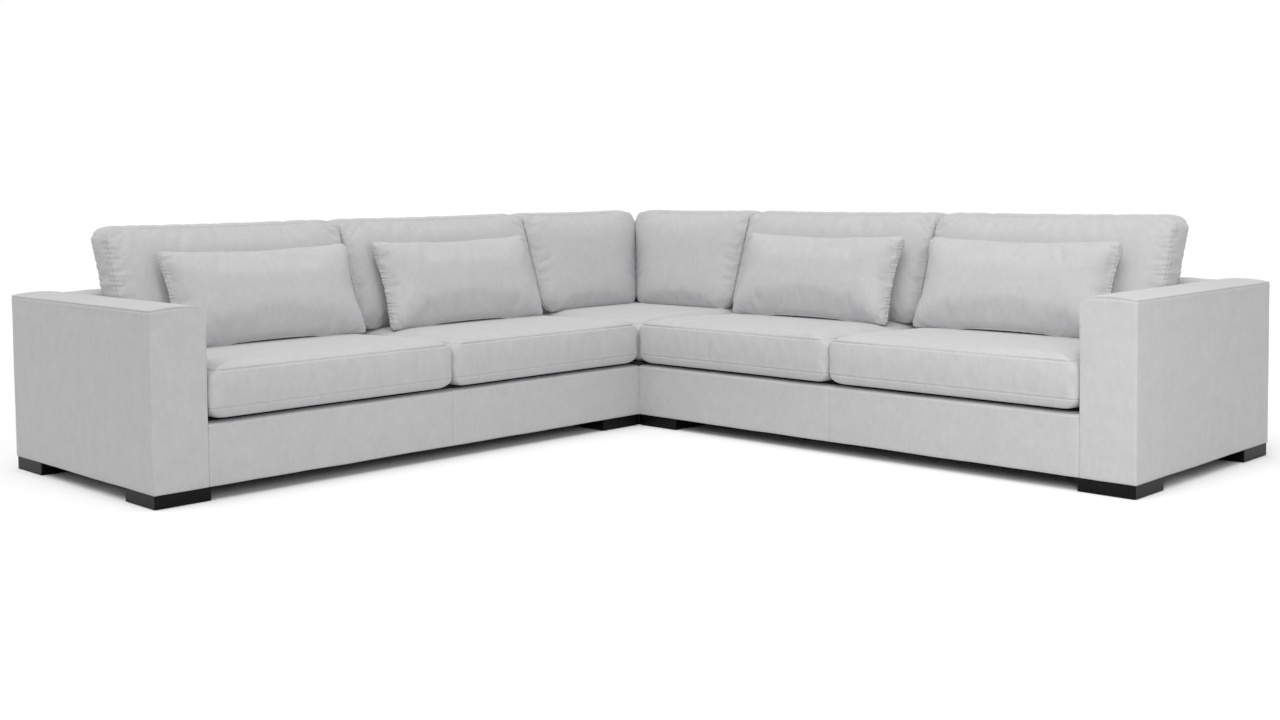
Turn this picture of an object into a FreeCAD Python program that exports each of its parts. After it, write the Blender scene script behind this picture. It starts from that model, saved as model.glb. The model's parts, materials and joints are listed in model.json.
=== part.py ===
import FreeCAD, Part
import math
import os
import Sketcher
from FreeCAD import Vector

# A corner sofa in three upholstered elements: a left wing, a square corner and a right wing.
# Lengths are millimetres. The row's frame has +Z up and its origin on the floor, below the
# middle of the square that the sofa covers. The drawing frame used below starts at the inner
# corner, where the two base fronts meet: the left wing runs along -X with its front on Y = 0,
# the corner element fills +X +Y, and the right wing is the left one mirrored in the plane X = Y.

doc = FreeCAD.newDocument("CornerSofa")
sheet = doc.addObject("Spreadsheet::Sheet", "Sizes")

sizes = (
    ("WingLength", 1945, "inner corner to the inside of an arm"),
    ("ArmWidth", 195, "width of an arm over its cloth"),
    ("SofaDepth", 1015, "front of a base to the back of the sofa"),
    ("BackThickness", 193, "upholstered back behind the cushions"),
    ("ArmHeight", 620, "floor to the top edge of arms and backs"),
    ("TopCrown", 8, "rise of the padded tops between their edges"),
    ("FootHeight", 44, "floor to the underside of the elements"),
    ("FootSize", 195, "side of a square foot block"),
    ("FootInset", 4, "foot block behind the cloth or the joint of an element"),
    ("FootEdge", 4, "rounding of a foot block's upright edges"),
    ("GlideThickness", 2, "felt glide under a foot"),
    ("GlideMargin", 12, "foot block outside its glide"),
    ("BaseTop", 247, "floor to the top edge of the base front"),
    ("InnerSeatWidth", 961, "inner corner to the seam between two seat cushions"),
    ("CoverPad", 14, "wadding and cloth over a frame"),
    ("SoftEdge", 20, "rounding of the padded edges that face the seat"),
    ("BaseEdge", 9, "rounding of the base front's top edge"),
    ("LipDepth", 60, "padded lip over the front rail"),
    ("LipPad", 10, "thickness of that lip"),
    ("Panel", 18, "thickness of frame boards"),
    ("Rail", 32, "thickness of base rails"),
    ("Block", 120, "side of the corner blocks over the feet"),
    ("BlockHeight", 45, "height of those blocks and of the arm's sill"),
    ("CrossDrop", 25, "cross rails below the webbing"),
    ("WebThickness", 2, "elastic webbing"),
    ("WebWidth", 60, "width of a web"),
    ("WebSpacing", 128, "spacing of the webs"),
    ("WebMargin", 6, "web ends inside the rails' outer faces"),
    ("DeckPad", 10, "deck pad above the lip"),
    ("DustCloth", 1.5, "cloth under a frame"),
    ("ModuleGap", 2, "between two elements"),
    ("SideGap", 2, "between two cushions side by side"),
    ("RestGap", 0.3, "between a cushion and what it rests on"),
    ("SeatBorder", 150, "height of a seat cushion's border"),
    ("SeatCrown", 20, "rise of a seat cushion's top above its border"),
    ("SeatCorner", 42, "corner radius of a seat cushion in plan"),
    ("SeatUnderEdge", 18, "rounding of a seat cushion's lower and upper edges"),
    ("SeatReach", 110, "edge of a seat cushion to where its top lies flat"),
    ("BackLean", 19, "lean of the back cushions in degrees"),
    ("BackHeight", 452, "height of a back cushion along its lean"),
    ("BackBorder", 137, "border of a back cushion, level"),
    ("BackCrown", 30, "swell of a back cushion's front"),
    ("RearSwell", 66, "swell of a back cushion's rear"),
    ("BackCorner", 62, "corner radius of a back cushion"),
    ("BackEdge", 20, "rounding of a back cushion's edges"),
    ("BackReach", 150, "edge of a back cushion to where its front and rear lie flat"),
    ("BackEndGap", 14, "between an arm and the back cushion beside it"),
    ("LeanGap", 1.2, "between a back cushion and the back that it leans on"),
    ("PillowLean", 21, "lean of the lumbar pillows in degrees"),
    ("PillowLength", 784, "length of a filled lumbar pillow"),
    ("PillowHeight", 368, "height of a filled lumbar pillow"),
    ("PillowSwell", 62, "swell of a pillow each side of its seam"),
    ("PillowReach", 150, "seam of a pillow to where its faces lie flat"),
    ("PillowCorner", 16, "corner radius of a pillow"),
    ("PillowPull", 12, "how far a pillow's sides draw in between its corners"),
    ("PillowStand", 6, "pillow in front of the back cushion"),
    ("OuterPillowAt", 1415, "inner corner to the middle of an outer pillow"),
    ("InnerPillowAt", 510, "inner corner to the middle of an inner pillow"),
    ("SidePull", 3, "how far a cushion's sides draw in between its corners"),
    ("SeatSkin", 14, "cover and fibre wrap of a seat cushion"),
    ("BackSkin", 10, "cover and down-proof lining of a back cushion"),
    ("PillowSkin", 4, "cover of a pillow"),
    ("FillGap", 0.5, "between a cover and its filling"),
    ("BoltDiameter", 8, "frame bolt"),
    ("BoltLength", 70, "shank of a frame bolt"),
    ("BoltFit", 0.4, "hole wider than its bolt"),
    ("DrillMargin", 2, "drill beyond the board it goes through"),
    ("HeadWidth", 15, "frame bolt head across its corners"),
    ("HeadHeight", 5.5, "frame bolt head"),
    ("FootBoltDiameter", 8, "dowel bolt of a foot"),
    ("FootBoltUp", 38, "dowel bolt above the foot"),
    ("FootBoltDown", 26, "dowel bolt inside the foot"),
    ("PlateLength", 84, "joining plate"),
    ("PlateWidth", 40, "joining plate"),
    ("PlateThickness", 3, "joining plate"),
    ("PlateAt", 300, "front of a base to the first joining plate"),
    ("PlateSpacing", 330, "between the two joining plates of a joint"),
    ("ArmBoltAt", 150, "front of a base to the first arm bolt"),
    ("ArmBoltSpacing", 480, "between arm bolts along the base"),
    ("ArmBoltLow", 105, "floor to the lower arm bolts"),
    ("ArmBoltRise", 90, "lower to upper arm bolts"),
)
for row, (alias, amount, meaning) in enumerate(sizes, start=1):
    sheet.set(f"A{row}", meaning)
    sheet.set(f"B{row}", str(amount))
    sheet.setAlias(f"B{row}", alias)
doc.recompute()

# Places that several pieces share, written once as expressions of the sizes
wingEnd = "-Sizes.WingLength"
armOuter = "(-Sizes.WingLength - Sizes.ArmWidth)"
joint = "Sizes.ModuleGap / 2"
depth = "Sizes.SofaDepth"
pad = "Sizes.CoverPad"
seatDepth = "(Sizes.SofaDepth - Sizes.BackThickness)"
rearInside = "(Sizes.SofaDepth - Sizes.CoverPad)"
frameBottom = "(Sizes.FootHeight + Sizes.DustCloth)"
deckBottom = "(Sizes.BaseTop - Sizes.LipPad)"
railTop = f"({deckBottom} - Sizes.WebThickness)"
crossTop = f"({railTop} - Sizes.CrossDrop)"
deckTop = "(Sizes.BaseTop + Sizes.DeckPad)"
frameTop = "(Sizes.ArmHeight - Sizes.CoverPad)"
seatSeam = "-Sizes.InnerSeatWidth"
seatTop = f"({deckTop} + Sizes.RestGap + Sizes.SeatBorder + Sizes.SeatCrown)"
home = "(Sizes.WingLength + Sizes.ArmWidth - Sizes.SofaDepth) / 2"

parts = []


def read(expression):
    """The number that an expression of the sizes has now."""
    return float(sheet.evalExpression(expression))


def keep(item, label):
    """Name a finished sub-part and move it from the drawing frame to the row's frame."""
    item.Label = label
    item.setExpression("Placement.Base.x", home)
    item.setExpression("Placement.Base.y", home)
    parts.append(item)
    return item


def board(name, spanX, spanY, spanZ):
    """A straight-edged board between two places along each axis."""
    item = doc.addObject("Part::Box", name)
    spans = (("x", "Length", spanX), ("y", "Width", spanY), ("z", "Height", spanZ))
    for axis, side, (low, high) in spans:
        item.setExpression(f"Placement.Base.{axis}", low)
        item.setExpression(side, f"({high}) - ({low})")
    return item


def gather(members, name):
    """Separate solids that count as one, such as the boards of a frame."""
    item = doc.addObject("Part::Compound", name)
    item.Links = members
    return item


def cut(base, tool, name):
    item = doc.addObject("Part::Cut", name)
    item.Base = base
    item.Tool = tool
    return item


def pin(name, place, diameter, length, alongX=False):
    """A round pin or drill that starts at a place and points up, or along +X."""
    item = doc.addObject("Part::Cylinder", name)
    item.setExpression("Radius", f"({diameter}) / 2")
    item.setExpression("Height", length)
    if alongX:
        item.Placement.Rotation = FreeCAD.Rotation(Vector(0, 1, 0), 90)
    for axis, where in zip("xyz", place):
        item.setExpression(f"Placement.Base.{axis}", where)
    return item


def copy_at(source, name, place, rotation=None):
    """A further piece like one already drawn, set at its own place."""
    item = doc.addObject("App::Link", name)
    item.LinkedObject = source
    if rotation:
        item.Placement.Rotation = rotation
    for axis, where in zip("xyz", place):
        item.setExpression(f"Placement.Base.{axis}", where)
    return item


def mirrored(source, label):
    """The right-hand twin of a left-hand sub-part."""
    item = doc.addObject("Part::Mirroring", label + "_twin")
    item.Source = source
    item.Base = Vector(0, 0, 0)
    item.Normal = Vector(1, -1, 0)
    item.Label = label
    parts.append(item)
    return item


def twin(name, item, left="left", right="right"):
    """Keep a left-hand sub-part and its right-hand twin."""
    keep(item, f"{left}_{name}")
    mirrored(item, f"{right}_{name}")


def profile(name, role, points, arcs=None):
    """A body with a closed sketch through points whose places are expressions.

    arcs gives, for the side that starts at a point, how far the side swells outwards.
    """
    arcs = arcs or {}
    body = doc.addObject("PartDesign::Body", name)
    plane = next(item for item in body.Origin.OriginFeatures if item.Role == role)
    sketch = body.newObject("Sketcher::SketchObject", name + "Sketch")
    sketch.AttachmentSupport = (plane, [""])
    sketch.MapMode = "FlatFace"
    corners = [Vector(read(across), read(up), 0) for across, up in points]
    count = len(corners)
    for side in range(count):
        start, end = corners[side], corners[(side + 1) % count]
        if side in arcs:
            along = (end - start).normalize()
            outwards = Vector(along.y, -along.x, 0)
            middle = (start + end) * 0.5 + outwards * read(arcs[side])
            sketch.addGeometry(Part.Arc(start, middle, end))
        else:
            sketch.addGeometry(Part.LineSegment(start, end))
    for side in range(count):
        following = (side + 1) % count
        sketch.addConstraint(Sketcher.Constraint("Coincident", side, 2, following, 1))
    for side, (across, up) in enumerate(points):
        for kind, where in (("DistanceX", across), ("DistanceY", up)):
            number = sketch.addConstraint(Sketcher.Constraint(kind, -1, 1, side, 1, read(where)))
            sketch.setExpression(f"Constraints[{number}]", where)
    for side, swell in arcs.items():
        start, end = points[side], points[(side + 1) % count]
        chord = f"(({end[0]}) - ({start[0]}))"
        radius = f"({chord} * {chord} / 4 + {swell} * {swell}) / (2 * {swell})"
        number = sketch.addConstraint(Sketcher.Constraint("Radius", side, read(radius)))
        sketch.setExpression(f"Constraints[{number}]", radius)
    return body, sketch


def padded(body, sketch, length, name):
    item = body.newObject("PartDesign::Pad", name)
    item.Profile = sketch
    item.setExpression("Length", length)
    item.Reversed = sketch.AttachmentSupport[0][0].Role == "XZ_Plane"
    sketch.Visibility = False
    doc.recompute()
    return item


def soften(body, feature, chosen, radius, name):
    """Round the edges whose middles pass a test."""
    names = []
    for number, edge in enumerate(feature.Shape.Edges, start=1):
        middle = edge.valueAt((edge.FirstParameter + edge.LastParameter) / 2)
        if chosen(middle):
            names.append(f"Edge{number}")
    item = body.newObject("PartDesign::Fillet", name)
    item.Base = (feature, names)
    item.setExpression("Radius", radius)
    doc.recompute()
    return item


def swelling(rise, edge, reach, steps):
    """Steps of a padded face from its border inwards: (distance beyond the border, inset)."""
    turns = [math.pi / 2 * step / steps for step in range(steps + 1)]
    return [((rise + edge) * math.sin(turn) - edge, reach * (1 - math.cos(turn))) for turn in turns]


# The round corners of an outline take at most this share of its shortest side
roundShare = 0.35
# Outlines between the border and the flat of a padded face, and round a plain lower edge
softSteps = 6
underSteps = 3
# Places on an axis closer than this are the same place
closeBy = 0.1


def inset_corners(corners, inset):
    """The corners of a four-sided outline after each side has moved inwards."""
    lines = []
    for start, end in zip(corners, corners[1:] + corners[:1]):
        along = (end - start).normalize()
        inwards = Vector(-along.y, along.x, 0)
        lines.append((start + inwards * inset, along))
    moved = []
    for (pointA, alongA), (pointB, alongB) in zip(lines[-1:] + lines[:-1], lines):
        across = pointB - pointA
        turn = alongA.x * alongB.y - alongA.y * alongB.x
        reach = (across.x * alongB.y - across.y * alongB.x) / turn
        moved.append(pointA + alongA * reach)
    return moved


def soft_outline(corners, inset, radius, pull, locate):
    """One closed outline of a cushion: four sides that draw in, joined by round corners."""
    corners = inset_corners(corners, inset)
    shortest = min((end - start).Length for start, end in zip(corners, corners[1:] + corners[:1]))
    radius = min(radius, roundShare * shortest)
    rounds = []
    for before, corner, after in zip(corners[-1:] + corners[:-1], corners, corners[1:] + corners[:1]):
        back = (before - corner).normalize()
        ahead = (after - corner).normalize()
        half = back.getAngle(ahead) / 2
        bisector = (back + ahead).normalize()
        shoulder = radius / math.tan(half)
        middle = corner + bisector * (radius / math.sin(half) - radius)
        rounds.append((corner + back * shoulder, middle, corner + ahead * shoulder))
    edges = []
    for (first, middle, last), following in zip(rounds, rounds[1:] + rounds[:1]):
        edges.append(Part.Arc(locate(first), locate(middle), locate(last)).toShape())
        along = (following[0] - last).normalize()
        inwards = Vector(-along.y, along.x, 0)
        drawn = (last + following[0]) * 0.5 + inwards * pull
        edges.append(Part.Arc(locate(last), locate(drawn), locate(following[0])).toShape())
    return Part.Wire(edges)


def soft_solid(form, skin=0):
    """A crowned cushion, or the same form a skin's thickness further in."""
    levels = form["levels"]
    low, high = levels[0][0], levels[-1][0]
    middle = (low + high) / 2
    shrink = (high - low - 2 * skin) / (high - low)
    outlines = []
    for level, inset in levels:
        inner = middle + (level - middle) * shrink
        radius = form["corner"] + inset * form["flare"] - skin / 2
        locate = lambda point: form["locate"](point.x, point.y, inner)
        outlines.append(soft_outline(form["outline"](inner), inset + skin, radius, form["pull"], locate))
    solid = Part.makeLoft(outlines, True, True)
    return solid if solid.Volume > 0 else solid.reversed()


def upholstered(form, skin, cover, filling):
    """A cover with its hollow and the filling inside it, as two sub-parts."""
    hollow = soft_solid(form, skin)
    stuffing = soft_solid(form, skin + read("Sizes.FillGap"))
    shapes = ((cover, soft_solid(form).cut(hollow)), (filling, stuffing))
    items = []
    for label, shape in shapes:
        item = doc.addObject("Part::Feature", label + "_form")
        item.Shape = shape
        items.append(keep(item, label))
    return items


def rectangle(width, height):
    return [Vector(0, 0, 0), Vector(width, 0, 0), Vector(width, height, 0), Vector(0, height, 0)]


# Seat cushions: box cushions with a crowned top, laid on the deck
def seat_form(startX, endX, startY, endY):
    border = read("Sizes.SeatBorder")
    edge = read("Sizes.SeatUnderEdge")
    under = [(-out, inset) for out, inset in reversed(swelling(0, edge, edge, underSteps))]
    crown = swelling(read("Sizes.SeatCrown"), edge, read("Sizes.SeatReach"), softSteps)
    levels = under + [(border + out, inset) for out, inset in crown]
    low = read(f"{deckTop} + Sizes.RestGap")
    return {
        "levels": levels,
        "corner": read("Sizes.SeatCorner"),
        "flare": 0.35,
        "pull": read("Sizes.SidePull"),
        "outline": lambda level: rectangle(endX - startX, endY - startY),
        "locate": lambda across, inwards, level: Vector(startX + across, startY + inwards, low + level),
    }


sideGap = read("Sizes.SideGap")
wingLength = read("Sizes.WingLength")
seam = read("Sizes.InnerSeatWidth")
seatBack = read(seatDepth) - sideGap / 2
seatSpans = {
    "left_outer": (-wingLength + sideGap, -seam - sideGap / 2),
    "left_inner": (-seam + sideGap / 2, -sideGap / 2),
}
rightOf = {"left_outer": "right_outer", "left_inner": "right_inner", "left_corner": "right_corner"}
for place, (startX, endX) in seatSpans.items():
    labels = (f"seat_cover_{place}", f"seat_foam_{place}")
    pieces = upholstered(seat_form(startX, endX, 0, seatBack), read("Sizes.SeatSkin"), *labels)
    for piece, label in zip(pieces, labels):
        mirrored(piece, label.replace(place, rightOf[place]))
cornerSeat = seat_form(sideGap / 2, seatBack, sideGap / 2, seatBack)
upholstered(cornerSeat, read("Sizes.SeatSkin"), "seat_cover_corner", "seat_foam_corner")

# Back cushions: box cushions that stand on the seats and lean on the rounded top of the back.
# Their front and rear lean, while the border stays level from front to rear.
lean = math.radians(read("Sizes.BackLean"))
backLow = read(f"{seatTop} + Sizes.RestGap")
backDepth = read("Sizes.BackBorder")
softEdge = read("Sizes.SoftEdge")
edgeHeight = read("Sizes.ArmHeight") - softEdge
leanOffset = (softEdge + read("Sizes.LeanGap")) / math.cos(lean)
restPlane = read(seatDepth) + softEdge - edgeHeight * math.tan(lean) - leanOffset
backFront = restPlane + backLow * math.tan(lean) - backDepth - read("Sizes.RearSwell")


def back_form(startX, outline):
    edge = read("Sizes.BackEdge")
    reach = read("Sizes.BackReach")
    front = [(-out, inset) for out, inset in swelling(read("Sizes.BackCrown"), edge, reach, softSteps)]
    rear = swelling(read("Sizes.RearSwell"), edge, reach, softSteps)
    return {
        "levels": list(reversed(front)) + [(backDepth + out, inset) for out, inset in rear],
        "corner": read("Sizes.BackCorner"),
        "flare": 0.1,
        "pull": read("Sizes.SidePull"),
        "outline": outline,
        "locate": lambda across, up, level: Vector(
            startX + across, backFront + level + up * math.sin(lean), backLow + up * math.cos(lean)
        ),
    }


backHeight = read("Sizes.BackHeight")
backSpans = {
    "left_outer": (-wingLength + read("Sizes.BackEndGap"), -seam - sideGap / 2),
    "left_inner": (-seam + sideGap / 2, -sideGap / 2),
}
backForms = {}
for place, (startX, endX) in backSpans.items():
    width = endX - startX
    backForms[place] = back_form(startX, lambda level, width=width: rectangle(width, backHeight))


def mitred_outline(level):
    """The corner cushions meet on the diagonal, so this outline widens upwards and rearwards."""
    near = backFront + level - sideGap
    far = near + backHeight * math.sin(lean)
    return [Vector(0, 0, 0), Vector(near, 0, 0), Vector(far, backHeight, 0), Vector(0, backHeight, 0)]


backForms["left_corner"] = back_form(sideGap / 2, mitred_outline)
for place, form in backForms.items():
    labels = (f"back_cushion_cover_{place}", f"back_cushion_filling_{place}")
    pieces = upholstered(form, read("Sizes.BackSkin"), *labels)
    for piece, label in zip(pieces, labels):
        mirrored(piece, label.replace(place, rightOf[place]))

# Lumbar pillows: knife-edge pillows that stand on the seats and lean on the back cushions
pillowLean = math.radians(read("Sizes.PillowLean"))
pillowHeight = read("Sizes.PillowHeight")
pillowSwell = read("Sizes.PillowSwell")
pillowReach = read("Sizes.PillowReach")
pillowSteps = swelling(pillowSwell, 0, pillowReach, softSteps)
# The rear of a leaning pillow dips below its seam, so the seam stands that much higher
pillowDip = max(out * math.sin(pillowLean) - inset * math.cos(pillowLean) for out, inset in pillowSteps)
pillowLow = backLow + pillowDip
swellTop = pillowHeight - pillowReach
swellHeight = pillowLow + swellTop * math.cos(pillowLean) - pillowSwell * math.sin(pillowLean)
pillowFoot = (
    backFront - read("Sizes.BackCrown") + (swellHeight - backLow) * math.tan(lean)
    - swellTop * math.sin(pillowLean) - pillowSwell * math.cos(pillowLean) - read("Sizes.PillowStand")
)


def pillow_form(middle):
    length = read("Sizes.PillowLength")
    front = [(-out, inset) for out, inset in pillowSteps[1:]]

    def locate(across, up, level):
        rise = up * math.cos(pillowLean) - level * math.sin(pillowLean)
        inwards = up * math.sin(pillowLean) + level * math.cos(pillowLean)
        return Vector(-middle - length / 2 + across, pillowFoot + inwards, pillowLow + rise)

    return {
        "levels": list(reversed(front)) + pillowSteps,
        "corner": read("Sizes.PillowCorner"),
        "flare": 0.25,
        "pull": read("Sizes.PillowPull"),
        "outline": lambda level: rectangle(length, pillowHeight),
        "locate": locate,
    }


for place, middle in (("left_outer", "Sizes.OuterPillowAt"), ("left_inner", "Sizes.InnerPillowAt")):
    labels = (f"pillow_cover_{place}", f"pillow_filling_{place}")
    pieces = upholstered(pillow_form(read(middle)), read("Sizes.PillowSkin"), *labels)
    for piece, label in zip(pieces, labels):
        mirrored(piece, label.replace(place, rightOf[place]))

# Holes and bolts share these places
footHalf = "(Sizes.FootInset + Sizes.FootSize / 2)"
footRear = f"({depth} - {footHalf})"
wingFeet = [(f"{armOuter} + {footHalf}", footHalf), (f"{armOuter} + {footHalf}", footRear)]
innerFeet = [(f"-{joint} - {footHalf}", footHalf), (f"-{joint} - {footHalf}", footRear)]
cornerNear = f"({joint} + {footHalf})"
cornerFeet = [(across, inwards) for across in (cornerNear, footRear) for inwards in (cornerNear, footRear)]
footDrill = "Sizes.FootBoltDiameter + Sizes.BoltFit"
boltDrill = "Sizes.BoltDiameter + Sizes.BoltFit"
drillMargin = "Sizes.DrillMargin"
plateRows = ["(Sizes.PlateAt)", "(Sizes.PlateAt + Sizes.PlateSpacing)"]
boltAside = f"({joint} + Sizes.Rail / 2)"
armBoltPlaces = [
    (f"(Sizes.ArmBoltAt + {along} * Sizes.ArmBoltSpacing)", f"(Sizes.ArmBoltLow + {up} * Sizes.ArmBoltRise)")
    for along in (0, 1)
    for up in (0, 1)
]


def foot_drills(places, name):
    drills = []
    for number, (across, inwards) in enumerate(places):
        low = "Sizes.FootHeight - Sizes.FootBoltDown"
        length = "Sizes.FootBoltDown + Sizes.FootBoltUp"
        drills.append(pin(f"{name}{number}", (across, inwards, low), footDrill, length))
    return drills


def plate_drills(side, name, low, swapped=False):
    """Upright drills for the joining plates' bolts, on one side of a joint between elements."""
    drills = []
    for number, along in enumerate(plateRows):
        spot = (f"{side} * {boltAside}", along)
        across, inwards = reversed(spot) if swapped else spot
        length = f"Sizes.BoltLength + {drillMargin}"
        drills.append(pin(f"{name}{number}", (across, inwards, low), boltDrill, length))
    return drills


def arm_drills(name):
    low = f"{wingEnd} - {pad} - Sizes.Panel - {drillMargin}"
    length = f"{pad} + Sizes.Panel + Sizes.Rail + 2 * {drillMargin}"
    return [
        pin(f"{name}{number}", (low, along, up), boltDrill, length, alongX=True)
        for number, (along, up) in enumerate(armBoltPlaces)
    ]


# Arms: a board box on a sill, in a padded cover that is open below
armRise = "Sizes.ArmHeight - Sizes.FootHeight"
armCorners = [("0", "0"), ("Sizes.ArmWidth", "0"), ("Sizes.ArmWidth", armRise), ("0", armRise)]
body, sketch = profile("ArmBody", "XZ_Plane", armCorners, arcs={2: "Sizes.TopCrown"})
armTop = read(armRise)
armWidth = read("Sizes.ArmWidth")
armPad = padded(body, sketch, depth, "ArmPad")


def inner_arm_edge(middle):
    onInside = abs(middle.x - armWidth) < closeBy
    aboveFoot = middle.z > closeBy
    return onInside and aboveFoot and (abs(middle.y) < closeBy or abs(middle.z - armTop) < closeBy)


soften(body, armPad, inner_arm_edge, "Sizes.SoftEdge", "ArmSoftEdges")
body.setExpression("Placement.Base.x", armOuter)
body.setExpression("Placement.Base.z", "Sizes.FootHeight")
hollow = board(
    "ArmHollow",
    (f"{armOuter} + {pad}", f"{wingEnd} - {pad}"),
    (pad, rearInside),
    ("Sizes.FootHeight", frameTop),
)
armTools = gather([hollow] + arm_drills("ArmCoverDrill"), "ArmTools")
twin("arm_cover", cut(body, armTools, "ArmCover"))

armIn = (f"{armOuter} + {pad}", f"{wingEnd} - {pad}")
armBetween = (f"{armIn[0]} + Sizes.Panel", f"{armIn[1]} - Sizes.Panel")
sillTop = f"({frameBottom} + Sizes.BlockHeight)"
armMiddle = f"({depth} / 2 - Sizes.Panel / 2)"
sill = board("ArmSill", armIn, (pad, rearInside), (frameBottom, sillTop))
innerPanel = board("ArmInnerPanel", (armBetween[1], armIn[1]), (pad, rearInside), (sillTop, frameTop))
armBoards = [
    cut(sill, gather(foot_drills(wingFeet, "SillDrill"), "SillDrills"), "DrilledSill"),
    cut(innerPanel, gather(arm_drills("PanelDrill"), "PanelDrills"), "DrilledPanel"),
    board("ArmOuterPanel", (armIn[0], armBetween[0]), (pad, rearInside), (sillTop, frameTop)),
    board("ArmTop", armBetween, (pad, rearInside), (f"{frameTop} - Sizes.Panel", frameTop)),
]
ribs = {"Front": pad, "Middle": armMiddle, "Rear": f"({rearInside} - Sizes.Panel)"}
for name, start in ribs.items():
    spanZ = (sillTop, f"{frameTop} - Sizes.Panel")
    armBoards.append(board(f"Arm{name}Rib", armBetween, (start, f"{start} + Sizes.Panel"), spanZ))
twin("arm_frame", gather(armBoards, "ArmFrame"))

# Base fronts: wadding and cloth over the front rail, with a lip that runs back under the deck
body, sketch = profile(
    "BaseFrontBody",
    "YZ_Plane",
    [
        ("0", "Sizes.FootHeight"),
        (pad, "Sizes.FootHeight"),
        (pad, deckBottom),
        ("Sizes.LipDepth", deckBottom),
        ("Sizes.LipDepth", "Sizes.BaseTop"),
        ("0", "Sizes.BaseTop"),
    ],
)
wingRun = f"Sizes.WingLength - {joint}"
frontPad = padded(body, sketch, wingRun, "BaseFrontPad")
baseTop = read("Sizes.BaseTop")


def base_front_edge(middle):
    return abs(middle.y) < closeBy and abs(middle.z - baseTop) < closeBy


soften(body, frontPad, base_front_edge, "Sizes.BaseEdge", "BaseFrontEdge")
body.setExpression("Placement.Base.x", wingEnd)
twin("base_front", gather([body], "BaseFront"))

# Base frames: rails on edge round each element, with blocks over the feet
wingSpan = (wingEnd, f"-{joint}")
railIn = f"({pad} + Sizes.Rail)"
rearRail = f"({rearInside} - Sizes.Rail)"
blockRearSpan = (f"{rearRail} - Sizes.Block", rearRail)
railSpan = (frameBottom, railTop)
blockSpan = (frameBottom, f"{frameBottom} + Sizes.BlockHeight")
armEndRail = board("ArmEndRail", (wingEnd, f"{wingEnd} + Sizes.Rail"), (railIn, rearRail), railSpan)
joinRail = board("JoinRail", (f"-{joint} - Sizes.Rail", f"-{joint}"), (railIn, rearRail), railSpan)
crossMiddle = (f"{seatSeam} - Sizes.Rail / 2", f"{seatSeam} + Sizes.Rail / 2")
wingInside = (f"{wingEnd} + Sizes.Rail", f"-{joint} - Sizes.Rail")
midRail = (f"{seatDepth} - Sizes.Rail", seatDepth)
wingRails = [
    cut(armEndRail, gather(arm_drills("EndRailDrill"), "EndRailDrills"), "DrilledEndRail"),
    cut(joinRail, gather(plate_drills("-1", "JoinDrill", frameBottom), "JoinDrills"), "DrilledJoinRail"),
    board("FrontRail", wingSpan, (pad, railIn), railSpan),
    board("RearRail", wingSpan, (rearRail, rearInside), railSpan),
    board("WebRail", wingInside, midRail, railSpan),
    board("CrossRail", crossMiddle, (railIn, midRail[0]), (frameBottom, crossTop)),
]
blockAcross = (f"-{joint} - Sizes.Rail - Sizes.Block", f"-{joint} - Sizes.Rail")
blockPlaces = (((railIn, f"{railIn} + Sizes.Block"), 0), (blockRearSpan, 1))
for blockInwards, number in blockPlaces:
    block = board(f"WingBlock{number}", blockAcross, blockInwards, blockSpan)
    drills = gather(foot_drills([innerFeet[number]], f"WingBlockDrill{number}"), f"WingBlockDrills{number}")
    wingRails.append(cut(block, drills, f"DrilledWingBlock{number}"))
twin("base_frame", gather(wingRails, "WingBaseFrame"))

cornerStart = f"({joint} + Sizes.Rail)"
joinDrills = plate_drills("1", "CornerJoinDrill", frameBottom)
crossJoinDrills = plate_drills("1", "CornerCrossDrill", frameBottom, swapped=True)
firstRail = board("CornerFirstRail", (joint, cornerStart), (joint, rearInside), railSpan)
secondRail = board("CornerSecondRail", (cornerStart, rearInside), (joint, cornerStart), railSpan)
cornerRails = [
    cut(firstRail, gather(joinDrills, "CornerJoinDrills"), "DrilledFirstRail"),
    cut(secondRail, gather(crossJoinDrills, "CornerCrossDrills"), "DrilledSecondRail"),
    board("CornerRearRail", (cornerStart, rearInside), (rearRail, rearInside), railSpan),
    board("CornerSideRail", (rearRail, rearInside), (cornerStart, rearRail), railSpan),
    board("CornerWebRail", (cornerStart, rearRail), midRail, railSpan),
]
blockNear = (cornerStart, f"{cornerStart} + Sizes.Block")
for number, place in enumerate(cornerFeet):
    spans = [blockNear if where == cornerNear else blockRearSpan for where in place]
    block = board(f"CornerBlock{number}", spans[0], spans[1], blockSpan)
    drills = gather(foot_drills([place], f"CornerBlockDrill{number}"), f"CornerBlockDrills{number}")
    cornerRails.append(cut(block, drills, f"DrilledCornerBlock{number}"))
keep(gather(cornerRails, "CornerBaseFrame"), "corner_base_frame")


def webs(name, low, high, spanY):
    """Webs side by side, centred between two places along X."""
    clear = read(high) - read(low)
    count = int((clear - read("Sizes.WebWidth")) / read("Sizes.WebSpacing")) + 1
    strips = []
    for number in range(count):
        middle = f"(({low}) + ({high})) / 2 + {number - (count - 1) / 2} * Sizes.WebSpacing"
        spanX = (f"{middle} - Sizes.WebWidth / 2", f"{middle} + Sizes.WebWidth / 2")
        strips.append(board(f"{name}{number}", spanX, spanY, (railTop, deckBottom)))
    return gather(strips, name + "s")


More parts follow.
